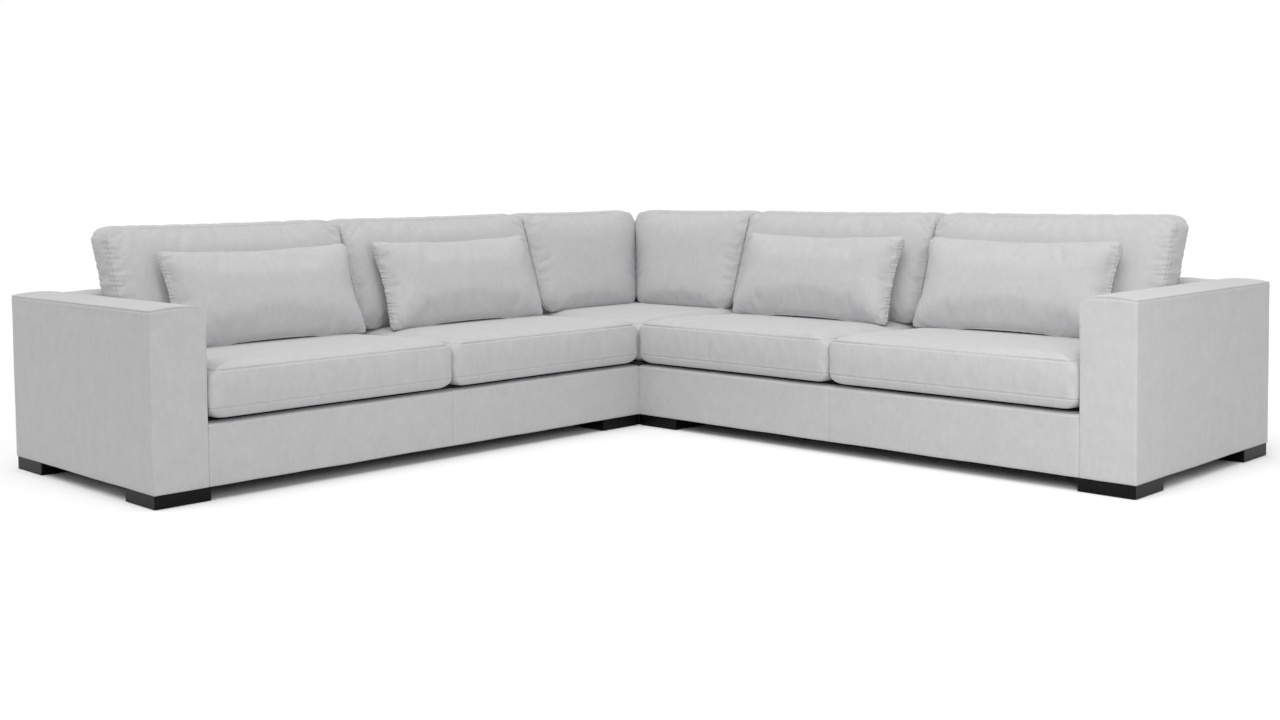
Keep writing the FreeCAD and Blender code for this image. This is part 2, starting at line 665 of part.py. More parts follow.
webEnd = f"{seatDepth} - Sizes.WebMargin"
twin("seat_webbing", webs("WingWeb", wingEnd, f"-{joint}", (f"{pad} + Sizes.WebMargin", webEnd)))
cornerWebs = webs("CornerWeb", cornerStart, seatDepth, (f"{joint} + Sizes.WebMargin", webEnd))
keep(cornerWebs, "corner_seat_webbing")
deckSpan = (deckBottom, deckTop)
twin("deck_pad", gather([board("WingDeck", wingSpan, ("Sizes.LipDepth", seatDepth), deckSpan)], "WingDecks"))
cornerDeck = board("CornerDeck", (joint, seatDepth), (joint, seatDepth), deckSpan)
keep(gather([cornerDeck], "CornerDecks"), "corner_deck_pad")


# Backs: a board box behind the cushions, in a padded cover whose rear runs down to the base
def back_body(name, run, start):
    """The cover of a straight stretch of back, from a place on X along a run."""
    across = "Sizes.BackThickness"
    body, sketch = profile(
        name,
        "YZ_Plane",
        [
            (f"{across} - {pad}", "Sizes.FootHeight"),
            (across, "Sizes.FootHeight"),
            (across, "Sizes.ArmHeight"),
            ("0", "Sizes.ArmHeight"),
            ("0", railTop),
            (pad, railTop),
            (pad, frameTop),
            (f"{across} - {pad}", frameTop),
        ],
        arcs={2: "Sizes.TopCrown"},
    )
    padFeature = padded(body, sketch, run, name + "Pad")
    top = read("Sizes.ArmHeight")
    facesSeat = lambda middle: math.hypot(middle.y, middle.z - top) < closeBy
    soften(body, padFeature, facesSeat, "Sizes.SoftEdge", name + "Edge")
    body.setExpression("Placement.Base.x", start)
    body.setExpression("Placement.Base.y", seatDepth)
    return body


twin("back_cover", gather([back_body("WingBackCover", wingRun, wingEnd)], "WingBackCovers"))
cornerCover = back_body("CornerBackCover", f"{depth} - {joint}", joint)
mitre = doc.addObject("Part::Box", "MitreWedge")
mitre.Placement.Rotation = FreeCAD.Rotation(Vector(0, 0, 1), -45)
for axis in "xy":
    mitre.setExpression(f"Placement.Base.{axis}", f"{seatDepth} - Sizes.BackThickness")
mitre.setExpression("Length", "Sizes.BackThickness * 2")
mitre.setExpression("Width", "Sizes.BackThickness * 4")
mitre.setExpression("Height", "Sizes.ArmHeight + Sizes.TopCrown * 2")
mitredCover = cut(cornerCover, mitre, "MitredCover")
twin("back_cover", mitredCover, "corner_left", "corner_right")

backFrontPanel = (f"{seatDepth} + {pad}", f"{seatDepth} + {pad} + Sizes.Panel")
backRearPanel = (f"{rearInside} - Sizes.Panel", rearInside)
backBetween = (backFrontPanel[1], backRearPanel[0])
shelfTop = f"({railTop} + Sizes.Panel)"
shelfSpan = (railTop, shelfTop)
panelSpan = (shelfTop, frameTop)
capSpan = (f"{frameTop} - Sizes.Panel", frameTop)
postSpan = (shelfTop, capSpan[0])
backBoards = [
    board("BackShelf", wingSpan, (backFrontPanel[0], rearInside), shelfSpan),
    board("BackFrontPanel", wingSpan, backFrontPanel, panelSpan),
    board("BackRearPanel", wingSpan, backRearPanel, panelSpan),
    board("BackCap", wingSpan, backBetween, capSpan),
]
postStarts = (wingEnd, f"{seatSeam} - Sizes.Panel / 2", f"-{joint} - Sizes.Panel")
for number, start in enumerate(postStarts):
    backBoards.append(board(f"BackPost{number}", (start, f"{start} + Sizes.Panel"), backBetween, postSpan))
twin("back_frame", gather(backBoards, "WingBackFrame"))

cornerFront = backFrontPanel
cornerRun = (joint, cornerFront[0])
cornerBoards = [
    board("CornerShelf", (joint, rearInside), (cornerFront[0], rearInside), shelfSpan),
    board("CornerSideShelf", (cornerFront[0], rearInside), cornerRun, shelfSpan),
    board("CornerFrontPanel", (joint, cornerFront[1]), cornerFront, panelSpan),
    board("CornerSidePanel", cornerFront, cornerRun, panelSpan),
    board("CornerRearPanel", (joint, rearInside), backRearPanel, panelSpan),
    board("CornerOuterPanel", backRearPanel, (joint, backRearPanel[0]), panelSpan),
    board("CornerCap", (joint, backRearPanel[0]), backBetween, capSpan),
    board("CornerSideCap", backBetween, (joint, cornerFront[1]), capSpan),
    board("CornerPost", (joint, f"{joint} + Sizes.Panel"), backBetween, postSpan),
    board("CornerSidePost", backBetween, (joint, f"{joint} + Sizes.Panel"), postSpan),
]
keep(gather(cornerBoards, "CornerBackFrame"), "corner_back_frame")

# Dust covers close the frames below, with holes for the bolts
dustSpan = ("Sizes.FootHeight", frameBottom)
wingDust = board("WingDust", wingSpan, (pad, rearInside), dustSpan)
armDust = board("ArmDust", armIn, (pad, rearInside), dustSpan)
wingDustDrills = foot_drills(innerFeet, "DustDrill") + plate_drills("-1", "DustJoinDrill", "0")
wingDusts = [
    cut(wingDust, gather(wingDustDrills, "WingDustDrills"), "DrilledWingDust"),
    cut(armDust, gather(foot_drills(wingFeet, "ArmDustDrill"), "ArmDustDrills"), "DrilledArmDust"),
]
twin("dust_cover", gather(wingDusts, "WingDustCover"))
cornerDustDrills = foot_drills(cornerFeet, "CornerDustDrill")
cornerDustDrills += plate_drills("1", "CornerDustJoin", "0")
cornerDustDrills += plate_drills("1", "CornerDustCross", "0", swapped=True)
cornerDust = board("CornerDust", (joint, rearInside), (joint, rearInside), dustSpan)
keep(cut(cornerDust, gather(cornerDustDrills, "CornerDustDrills"), "DrilledCornerDust"), "corner_dust_cover")

# Feet: lacquered square blocks, each with a dowel bolt into the frame and a felt glide below
half = "Sizes.FootSize / 2"
body, sketch = profile(
    "FootBody",
    "XY_Plane",
    [(f"-{half}", f"-{half}"), (half, f"-{half}"), (half, half), (f"-{half}", half)],
)
footPad = padded(body, sketch, "Sizes.FootHeight - Sizes.GlideThickness", "FootPad")
halfFoot = read(half)


def upright_foot_edge(middle):
    return abs(abs(middle.x) - halfFoot) < closeBy and abs(abs(middle.y) - halfFoot) < closeBy


soften(body, footPad, upright_foot_edge, "Sizes.FootEdge", "FootEdges")
footHoleLow = "Sizes.FootHeight - Sizes.GlideThickness - Sizes.FootBoltDown"
footHole = pin("FootHole", ("0", "0", footHoleLow), footDrill, "Sizes.FootBoltDown + Sizes.DrillMargin")
foot = cut(body, footHole, "DrilledFoot")
halfGlide = "(Sizes.FootSize / 2 - Sizes.GlideMargin)"
glideSpan = (f"-{halfGlide}", halfGlide)
glide = board("Glide", glideSpan, glideSpan, ("0", "Sizes.GlideThickness"))
footBolt = pin("FootBolt", ("0", "0", "0"), "Sizes.FootBoltDiameter", "Sizes.FootBoltDown + Sizes.FootBoltUp")
leftFeet = wingFeet + innerFeet
footPlaces = leftFeet + [(inwards, across) for across, inwards in leftFeet] + cornerFeet


def at_each_foot(source, low, label):
    copies = [
        copy_at(source, f"{label}{number}", (across, inwards, low))
        for number, (across, inwards) in enumerate(footPlaces)
    ]
    return keep(gather(copies, label + "_set"), label)


at_each_foot(foot, "Sizes.GlideThickness", "feet")
at_each_foot(gather([glide], "CentredGlide"), "0", "foot_glides")
at_each_foot(footBolt, "Sizes.FootHeight - Sizes.FootBoltDown", "foot_bolts")

# Joining plates under the bases hold the elements together; the same bolts hold the arms
plateAcross = "Sizes.PlateLength / 2"
plateInwards = "Sizes.PlateWidth / 2"
plateSpans = ((f"-{plateAcross}", plateAcross), (f"-{plateInwards}", plateInwards))
plateBlank = board("PlateBlank", *plateSpans, ("0", "Sizes.PlateThickness"))
plateHoles = []
for number, side in enumerate(("-1", "1")):
    spot = (f"{side} * {boltAside}", "0", f"-{drillMargin}")
    plateHoles.append(pin(f"PlateHole{number}", spot, boltDrill, f"Sizes.PlateThickness + 2 * {drillMargin}"))
plate = cut(plateBlank, gather(plateHoles, "PlateHoles"), "Plate")
quarterTurn = FreeCAD.Rotation(Vector(0, 0, 1), 90)
plateLow = "Sizes.FootHeight - Sizes.PlateThickness"
plateCopies = []
for number, along in enumerate(plateRows):
    plateCopies.append(copy_at(plate, f"LeftPlate{number}", ("0", along, plateLow)))
    plateCopies.append(copy_at(plate, f"RightPlate{number}", (along, "0", plateLow), quarterTurn))
keep(gather(plateCopies, "PlateSet"), "joining_plates")

head = doc.addObject("Part::Prism", "BoltHead")
head.Polygon = 6
head.setExpression("Circumradius", "Sizes.HeadWidth / 2")
head.setExpression("Height", "Sizes.HeadHeight")
head.setExpression("Placement.Base.z", "-Sizes.HeadHeight")
shank = pin("BoltShank", ("0", "0", "0"), "Sizes.BoltDiameter", "Sizes.BoltLength")
bolt = doc.addObject("Part::Fuse", "FrameBolt")
bolt.Base = head
bolt.Tool = shank
bolts = []
for number, along in enumerate(plateRows):
    for side in ("-1", "1"):
        aside = f"{side} * {boltAside}"
        name = f"PlateBolt{number}Side{side.replace('-', 'Minus')}"
        bolts.append(copy_at(bolt, name + "Left", (aside, along, plateLow)))
        bolts.append(copy_at(bolt, name + "Right", (along, aside, plateLow)))
towardsLeftArm = FreeCAD.Rotation(Vector(0, 1, 0), -90)
towardsRightArm = FreeCAD.Rotation(Vector(1, 0, 0), 90)
boltSeat = f"{wingEnd} + Sizes.Rail"
for number, (along, up) in enumerate(armBoltPlaces):
    bolts.append(copy_at(bolt, f"LeftArmBolt{number}", (boltSeat, along, up), towardsLeftArm))
    bolts.append(copy_at(bolt, f"RightArmBolt{number}", (along, boltSeat, up), towardsRightArm))
keep(gather(bolts, "BoltSet"), "frame_bolts")

doc.recompute()
faults = [item.Name for item in doc.Objects if {"Invalid", "Error"} & set(item.State)]
faults += [item.Label for item in parts if item.Shape.isNull() or not item.Shape.isValid()]
faults += [item.Label for item in parts if not item.Shape.Solids]
if faults:
    raise SystemExit("not built: " + ", ".join(faults))
os.makedirs("parts", exist_ok=True)
for item in parts:
    item.Shape.exportStep(f"parts/{item.Label}.step")
print(len(parts), "sub-parts,", sum(len(item.Shape.Solids) for item in parts), "solids")
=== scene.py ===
import json
import math

import bpy
import numpy as np
from mathutils import Matrix, Vector


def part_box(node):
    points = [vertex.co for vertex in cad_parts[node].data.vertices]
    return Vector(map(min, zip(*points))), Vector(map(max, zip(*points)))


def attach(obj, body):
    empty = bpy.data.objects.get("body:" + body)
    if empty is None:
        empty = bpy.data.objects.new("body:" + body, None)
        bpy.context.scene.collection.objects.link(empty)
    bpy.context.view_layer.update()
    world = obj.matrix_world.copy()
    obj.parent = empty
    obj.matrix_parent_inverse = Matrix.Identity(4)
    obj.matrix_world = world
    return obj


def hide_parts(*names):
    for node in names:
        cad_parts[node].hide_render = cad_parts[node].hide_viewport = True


# A corner sofa in pale grey velour. Lengths are metres in the CAD frame: +Z up, the floor at 0.
# The left wing runs along -X and faces -Y; the right wing is its twin with X and Y swapped.

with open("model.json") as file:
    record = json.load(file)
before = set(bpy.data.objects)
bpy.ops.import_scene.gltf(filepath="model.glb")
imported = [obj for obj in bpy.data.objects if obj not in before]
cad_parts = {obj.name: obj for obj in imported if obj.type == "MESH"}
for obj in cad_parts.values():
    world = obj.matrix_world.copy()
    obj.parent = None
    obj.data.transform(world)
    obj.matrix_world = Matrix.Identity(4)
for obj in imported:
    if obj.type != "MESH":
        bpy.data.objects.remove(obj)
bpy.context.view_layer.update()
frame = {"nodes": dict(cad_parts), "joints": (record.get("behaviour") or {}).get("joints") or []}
millimetre = 0.001
swapXY = Matrix(((0, 1, 0, 0), (1, 0, 0, 0), (0, 0, 1, 0), (0, 0, 0, 1)))
twinOf = {"left_outer": "right_outer", "left_inner": "right_inner", "left_corner": "right_corner"}


# Small helpers

def only(piece):  # operators act on all that is selected, so select nothing but this
    if bpy.context.object and bpy.context.object.mode != "OBJECT":
        bpy.ops.object.mode_set(mode="OBJECT")
    bpy.ops.object.select_all(action="DESELECT")
    piece.select_set(True)
    bpy.context.view_layer.objects.active = piece
    return piece


def applyModifier(piece, kind, **settings):
    only(piece)
    modifier = piece.modifiers.new(kind.title(), kind)
    for setting, value in settings.items():
        setattr(modifier, setting, value)
    bpy.ops.object.modifier_apply(modifier=modifier.name)


def readPoints(piece, what="co"):
    flat = np.empty(len(piece.data.vertices) * 3, np.float32)
    piece.data.vertices.foreach_get(what, flat)
    return flat.reshape(-1, 3).astype(float)


def writePoints(piece, points):
    piece.data.vertices.foreach_set("co", points.astype(np.float32).ravel())
    piece.data.update()


driftPlan = {"waves": 10, "shortest": 0.7, "longest": 1.5}


def drift(points, period, seed):  # smooth random field of about -1 to 1
    draw = np.random.default_rng(seed)
    waves = driftPlan["waves"]
    total = np.zeros(len(points))
    for wave in range(waves):
        direction = draw.normal(size=points.shape[1])
        direction /= np.linalg.norm(direction)
        length = period * draw.uniform(driftPlan["shortest"], driftPlan["longest"])
        total += np.sin(points @ direction * 2 * math.pi / length + draw.uniform(0, 2 * math.pi))
    return total / math.sqrt(2 * waves)


foldPlan = {"kinds": 512, "least": 0.35, "wander": 0.45, "wanderPeriod": 5, "roundness": 0.8, "fade": 1.4}


def gathers(along, away, spacing, reach, seed):  # folds that run out from a seam, 0 to 1
    draw = np.random.default_rng(seed)
    lengths = draw.uniform(foldPlan["least"], 1.0, foldPlan["kinds"])
    heights = draw.uniform(foldPlan["least"], 1.0, foldPlan["kinds"])
    wander = drift(along[:, None], spacing * foldPlan["wanderPeriod"], seed + 1)
    phase = along / spacing + foldPlan["wander"] * wander
    number = np.floor(phase).astype(int) % foldPlan["kinds"]
    fold = np.abs(np.sin(math.pi * phase)) ** foldPlan["roundness"]
    fade = np.exp(-(np.abs(away) / (reach * lengths[number])) ** foldPlan["fade"])
    return fold * heights[number] * fade


def aroundBox(across, up, halfAcross, halfUp):  # distance round a box's outline
    shareAcross, shareUp = across / halfAcross, up / halfUp
    right = (np.abs(shareAcross) >= np.abs(shareUp)) & (across > 0)
    left = (np.abs(shareAcross) >= np.abs(shareUp)) & (across <= 0)
    top = ~right & ~left & (up > 0)
    return np.select(
        [right, top, left],
        [up, halfUp + halfAcross - across, 2 * halfUp + 2 * halfAcross - up],
        3 * halfUp + 3 * halfAcross + across,
    )


def selectPoints(piece, chosen):  # leaves edit mode on, with the chosen vertices selected
    only(piece)
    bpy.ops.object.mode_set(mode="EDIT")
    bpy.ops.mesh.select_mode(type="VERT")
    bpy.ops.mesh.select_all(action="DESELECT")
    bpy.ops.object.mode_set(mode="OBJECT")
    piece.data.vertices.foreach_set("select", chosen)
    bpy.ops.object.mode_set(mode="EDIT")


def slicePiece(piece, place, normal):
    only(piece)
    bpy.ops.object.mode_set(mode="EDIT")
    bpy.ops.mesh.select_all(action="SELECT")
    bpy.ops.mesh.bisect(plane_co=place, plane_no=normal, use_fill=False)
    bpy.ops.object.mode_set(mode="OBJECT")


sharpAngle = 50  # degrees between two faces, from which their edge is shaded sharp


def finishPiece(piece, material, body, replaced):
    only(piece)
    piece.data.materials.clear()
    piece.data.materials.append(material)
    bpy.ops.object.shade_smooth_by_angle(angle=math.radians(sharpAngle))
    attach(piece, body)
    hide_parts(*replaced)


def twinPiece(piece, name):  # the right-hand twin: X and Y swapped, faces turned back outwards
    twin = bpy.data.objects.new(name, piece.data.copy())
    bpy.context.scene.collection.objects.link(twin)
    twin.data.transform(swapXY)
    twin.data.flip_normals()
    return twin


# Materials

def linearColour(hexText):
    channels = [int(hexText[place:place + 2], 16) / 255 for place in (1, 3, 5)]
    return [c / 12.92 if c <= 0.04045 else ((c + 0.055) / 1.055) ** 2.4 for c in channels] + [1.0]


def addNode(tree, kind, settings=None, links=None):
    node = tree.nodes.new("ShaderNode" + kind)
    for name, value in (settings or {}).items():
        if hasattr(node, name):
            setattr(node, name, value)
        else:
            node.inputs[name].default_value = value
    for name, source in (links or {}).items():
        tree.links.new(source, node.inputs[name])
    return node


def newMaterial(name, settings):
    material = bpy.data.materials.new(name)
    material.use_nodes = True
    tree = material.node_tree
    shader = tree.nodes["Principled BSDF"]
    for socket, value in settings.items():
        shader.inputs[socket].default_value = value
    place = addNode(tree, "TexCoord").outputs["Object"]
    return material, tree, shader, place


def perMetre(periodMm):  # texture scale from a real size
    return 1000 / periodMm


def noiseNode(tree, place, periodMm, detail=3, stretch=None):
    if stretch:
        place = addNode(tree, "Mapping", {"Scale": stretch}, {"Vector": place}).outputs["Vector"]
    return addNode(tree, "TexNoise", {"Scale": perMetre(periodMm), "Detail": detail}, {"Vector": place})


def rampNode(tree, source, low, high, colours):
    ramp = addNode(tree, "ValToRGB", None, {"Fac": source})
    ramp.color_ramp.elements[0].position = low
    ramp.color_ramp.elements[1].position = high
    ramp.color_ramp.elements[0].color = linearColour(colours[0])
    ramp.color_ramp.elements[1].color = linearColour(colours[1])
    return ramp.outputs["Color"]


def darken(tree, share, first, second):  # multiplies by this share of the second colour
    mix = addNode(tree, "Mix", {"data_type": "RGBA", "blend_type": "MULTIPLY"})
    mix.inputs[0].default_value = share
    tree.links.new(first, mix.inputs[6])
    tree.links.new(second, mix.inputs[7])
    return mix.outputs[2]


# Knitted velour, polyester pile of about 1 mm: matt, with a pale sheen at grazing angles and
# clouds where the pile was stroked
velour = {"dark": "#C5C5C6", "light": "#CACACB", "cloudMm": 55, "strokeMm": 14, "pileMm": 1.6}


def makeVelour():
    settings = {"Roughness": 0.86, "Sheen Weight": 0.22, "Sheen Roughness": 0.45, "IOR": 1.46}
    material, tree, shader, place = newMaterial("Pale grey knitted velour", settings)
    clouds = noiseNode(tree, place, velour["cloudMm"], 4)
    strokes = noiseNode(tree, place, velour["strokeMm"], 3, (1.0, 1.0, 0.55))
    pile = noiseNode(tree, place, velour["pileMm"], 2)
    colour = rampNode(tree, clouds.outputs["Fac"], 0.3, 0.72, (velour["dark"], velour["light"]))
    stroke = rampNode(tree, strokes.outputs["Fac"], 0.3, 0.7, ("#F6F6F6", "#FFFFFF"))
    nap = rampNode(tree, pile.outputs["Fac"], 0.3, 0.7, ("#F2F2F2", "#FFFFFF"))
    colour = darken(tree, 0.7, colour, stroke)
    colour = darken(tree, 0.6, colour, nap)
    tree.links.new(colour, shader.inputs["Base Color"])
    fine = addNode(tree, "Bump", {"Strength": 0.25, "Distance": 0.0006}, {"Height": pile.outputs["Fac"]})
    soft = addNode(
        tree, "Bump", {"Strength": 0.2, "Distance": 0.0015},
        {"Height": strokes.outputs["Fac"], "Normal": fine.outputs["Normal"]},
    )
    tree.links.new(soft.outputs["Normal"], shader.inputs["Normal"])
    return material


# The grain's period and relief are in millimetres, and its colours run between the ramp's two ends
def grainMaterial(name, settings, periodMm, rampEnds, colours, bumpMm, stretch=None, detail=4):
    material, tree, shader, place = newMaterial(name, settings)
    grain = noiseNode(tree, place, periodMm, detail, stretch)
    colour = rampNode(tree, grain.outputs["Fac"], *rampEnds, colours)
    tree.links.new(colour, shader.inputs["Base Color"])
    bump = addNode(
        tree, "Bump", {"Strength": 0.4, "Distance": bumpMm * millimetre}, {"Height": grain.outputs["Fac"]}
    )
    tree.links.new(bump.outputs["Normal"], shader.inputs["Normal"])
    return material


# Near-black deck felt: partly its own colour, partly painted shade that darkens the gap under the seat
# cushions
def makeDeckFeltAndGapShade():  # black needled felt over the deck: matt, short fibres
    settings = {"Roughness": 0.95, "Sheen Weight": 0.1, "IOR": 1.45}
    return grainMaterial("Black needled felt", settings, 2.5, (0.3, 0.7), ("#1D1D1E", "#343436"), 0.5)


def makeTimber():  # planed spruce rails and boards: pale, with long grain
    settings = {"Roughness": 0.6, "IOR": 1.5}
    colours = ("#C79F6B", "#E2C79A")
    return grainMaterial("Planed spruce", settings, 14, (0.3, 0.7), colours, 0.2, (0.08, 1.0, 1.0))


def makeWebbing():  # rubber and polypropylene web, woven: ribs of about 2 mm
    settings = {"Roughness": 0.8, "IOR": 1.48}
    colours = ("#8C8375", "#C9BFAE")
    return grainMaterial("Woven elastic webbing", settings, 4, (0.4, 0.6), colours, 0.3, (1.0, 1.0, 4.0), 2)


def makeDustCloth():  # black spunbond with embossed dots
    material, tree, shader, place = newMaterial("Black spunbond cloth", {"Roughness": 0.85, "IOR": 1.49})
    dots = addNode(tree, "TexVoronoi", {"Scale": perMetre(2.2)}, {"Vector": place})
    colour = rampNode(tree, dots.outputs["Distance"], 0.2, 0.5, ("#0F0F10", "#262628"))
    tree.links.new(colour, shader.inputs["Base Color"])
    settings = {"Strength": 0.3, "Distance": 0.0002}
    bump = addNode(tree, "Bump", settings, {"Height": dots.outputs["Distance"]})
    tree.links.new(bump.outputs["Normal"], shader.inputs["Normal"])
    return material


def makeLacquer():  # black lacquer on beech: satin, with open grain just showing
    settings = {"Roughness": 0.34, "IOR": 1.5, "Specular IOR Level": 0.12}
    colours = ("#080809", "#101011")
    return grainMaterial("Black satin lacquer", settings, 9, (0.35, 0.65), colours, 0.08, (0.12, 1.0, 1.0))


def makeFelt():  # pressed wool glide
    settings = {"Roughness": 0.97, "Sheen Weight": 0.15, "IOR": 1.45}
    return grainMaterial("Pressed wool felt", settings, 1.8, (0.3, 0.7), ("#4A443D", "#6B645A"), 0.4)


def makeZinc(name, roughness):  # bluish zinc with a faint spangle
    settings = {"Metallic": 1.0, "Roughness": roughness}
    return grainMaterial(name, settings, 6, (0.35, 0.65), ("#A9AEB2", "#C4C9CC"), 0.03, detail=2)


velourMaterial = makeVelour()
print("materials made")


# Soft goods

def shellCopy(node, name):  # a copy of the CAD form's outer skin
    source = frame["nodes"][node]
    piece = bpy.data.objects.new(name, source.data.copy())
    bpy.context.scene.collection.objects.link(piece)
    piece.data.materials.clear()
    only(piece)
    bpy.ops.object.mode_set(mode="EDIT")
    bpy.ops.mesh.select_all(action="SELECT")
    bpy.ops.mesh.remove_doubles(threshold=0.02 * millimetre)
    bpy.ops.mesh.separate(type="LOOSE")
    bpy.ops.object.mode_set(mode="OBJECT")
    shells = sorted(bpy.context.selected_objects, key=lambda shell: shell.dimensions.length)
    for shell in shells[:-1]:
        bpy.data.objects.remove(shell)
    piece = shells[-1]
    piece.name = name
    return piece


def evenMesh(piece, voxel, smoothing):
    applyModifier(piece, "REMESH", mode="VOXEL", voxel_size=voxel)
    applyModifier(piece, "SMOOTH", factor=0.5, iterations=smoothing)


clothPlan = {"quality": 5, "mass": 0.3}


def inflate(piece, plan, pinned):  # cloth with air pressure; the sewn seams are held in place
    start = readPoints(piece)
    group = piece.vertex_groups.new(name="seams")
    group.add([int(number) for number in np.flatnonzero(pinned)], 1.0, "REPLACE")
    only(piece)
    modifier = piece.modifiers.new("Cloth", "CLOTH")
    cloth = modifier.settings
    cloth.quality = clothPlan["quality"]
    cloth.mass = clothPlan["mass"]
    cloth.tension_stiffness = plan["stiffness"]
    cloth.compression_stiffness = plan["stiffness"]
    cloth.shear_stiffness = plan["stiffness"] / 2
    cloth.bending_stiffness = plan["bending"]
    cloth.use_pressure = True
    cloth.uniform_pressure_force = plan["pressure"]
    cloth.shrink_min = -plan["spareCloth"]
    cloth.vertex_group_mass = group.name
    cloth.effector_weights.gravity = 0
    modifier.collision_settings.use_collision = False
    for step in range(1, plan["steps"] + 1):
        bpy.context.scene.frame_set(step)
    bpy.ops.object.modifier_apply(modifier=modifier.name)
    bpy.context.scene.frame_set(1)
    piece.vertex_groups.clear()
    moved = readPoints(piece) - start
    travel = np.linalg.norm(moved, axis=1, keepdims=True)
    capped = moved * plan["cap"] * np.tanh(travel / plan["cap"]) / np.maximum(travel, 1e-9)
    writePoints(piece, start + capped)


# A seam's groove has a low ridge along each side, and its gathers rise less close to the stitches
seamPlan = {"ridgeAt": 2.2, "ridge": 0.35, "tuck": 0.4, "refineAbove": 0.35}


def gatherHeight(seam, points):
    height = seam["gather"]
    return height(points) if callable(height) else np.full(len(points), height)


def refineBeside(piece, seams):  # a finer mesh where gathers run out from the seams
    points = readPoints(piece)
    chosen = np.zeros(len(points), bool)
    for seam in seams:
        away = np.abs((points - np.array(seam["place"])) @ np.array(seam["normal"]))
        height = gatherHeight(seam, points)
        chosen |= (away < seam["reach"]) & (height > seamPlan["refineAbove"] * height.max())
    selectPoints(piece, chosen)
    bpy.ops.mesh.subdivide(number_cuts=1)
    bpy.ops.object.mode_set(mode="OBJECT")


def sewSeams(piece, seams, outline):  # grooves along planes, with gathers beside them
    ridgeAt, ridge, tuck = (seamPlan[name] for name in ("ridgeAt", "ridge", "tuck"))
    for seam in seams:
        for offset in (-ridgeAt, -1, 0, 1, ridgeAt):
            place = Vector(seam["place"]) + Vector(seam["normal"]) * offset * seam["width"]
            slicePiece(piece, place, seam["normal"])
    points, normals = readPoints(piece), readPoints(piece, "normal")
    along = outline(points)
    shift = np.zeros(len(points))
    for seam in seams:
        away = (points - np.array(seam["place"])) @ np.array(seam["normal"])
        share = away / seam["width"]
        depth = seam["depth"] * (seam["fade"](points) if "fade" in seam else 1)
        shift -= depth * np.exp(-share ** 2)
        shift += ridge * depth * np.exp(-(np.abs(share) - ridgeAt) ** 2)
        folds = gathers(along, away, seam["spacing"], seam["reach"], seam["seed"])
        shift += gatherHeight(seam, points) * (folds - tuck * np.exp(-(away / seam["reach"]) ** 2))
    writePoints(piece, points + normals * shift[:, None])


def planeFrom(points, normal, inset):  # a point of the plane that lies this far behind the front
    spread = points @ np.array(normal)
    return tuple(np.array(normal) * (spread.min() + inset))


seedStep = 7  # from one cushion's random numbers to the next one's

# Seat cushions: box cushions with a seam above and below the border
seatPlan = {
    "voxel": 0.014, "smoothing": 2, "stiffness": 12, "bending": 0.6, "pressure": 3.0, "spareCloth": 0.006,
    "steps": 16, "cap": 0.009, "pinBand": 0.006, "underside": 0.01, "topSeam": 0.014, "lowSeam": 0.035,
    "border": 0.150, "crown": 0.020, "reach": 0.110, "edgeRise": 0.033, "endRound": 0.060, "endDrop": 0.022,
    "endLift": 0.012, "liftFade": 3, "restFrom": 0.24, "restTo": 0.42, "overhang": 0.009,
    "overhangReach": 0.3, "cadCorner": 0.042, "corner": 0.020, "seamWidth": 0.0024,
    "seamDepths": (0.0020, 0.0030), "gather": 0.0014, "spacing": 0.019, "gatherReach": 0.016,
    "fill": 0.85, "seed": 11,
}


def smoothStep(share):
    share = np.clip(share, 0, 1)
    return share * share * (3 - 2 * share)


def tightenCorners(points, low, high, oldRadius, newRadius):  # a smaller corner radius in plan
    flat = oldRadius - newRadius
    for signX in (-1, 1):
        for signY in (-1, 1):
            edgeX, edgeY = (low.x, high.x)[signX > 0], (low.y, high.y)[signY > 0]
            across = (points[:, 0] - edgeX) * signX + oldRadius
            along = (points[:, 1] - edgeY) * signY + oldRadius
            reach = np.maximum(np.hypot(across, along), 1e-9)
            sway = (across + along) / reach
            root = (flat * sway) ** 2 - 2 * flat ** 2 + newRadius ** 2
            arc = flat * sway + np.sqrt(np.maximum(root, 0))
            longer = np.maximum(np.maximum(across, along), 1e-9)
            square = oldRadius * reach / longer
            onArc = np.minimum(across, along) / longer * oldRadius > flat
            goal = np.where(onArc, arc, square) / oldRadius
            inCorner = (across > 0) & (along > 0)
            grow = np.where(inCorner, 1 + (goal - 1) * np.minimum(reach / oldRadius, 1) ** 2, 1)
            points[:, 0] += signX * across * (grow - 1)
            points[:, 1] += signY * along * (grow - 1)
    return points


def fillFront(piece, low, high, plan):  # the foam stands up to the front edge and over the base
    points = tightenCorners(readPoints(piece), low, high, plan["cadCorner"], plan["corner"])
    fromEnd = np.minimum(points[:, 0] - low.x, high.x - points[:, 0])
    depth = points[:, 1] - low.y
    share = np.clip(np.minimum(fromEnd, depth) / plan["reach"], 0, 1)
    ends = 1 - smoothStep(fromEnd / plan["endRound"])
    topNow = plan["border"] + plan["crown"] * (1 - (1 - share) ** 2)
    topNew = topNow + plan["edgeRise"] * (1 - share) ** 2 - plan["endDrop"] * ends ** 2
    front = 1 - smoothStep((depth - plan["restFrom"]) / (plan["restTo"] - plan["restFrom"]))
    height = (points[:, 2] - low.z) / topNow
    points[:, 2] = low.z + height * (topNow + (topNew - topNow) * front)
    points[:, 2] += plan["endLift"] * ends ** 2 * (1 - smoothStep(height * plan["liftFade"])) * front
    points[:, 1] -= plan["overhang"] * (1 - smoothStep(depth / plan["overhangReach"]))
    writePoints(piece, points)


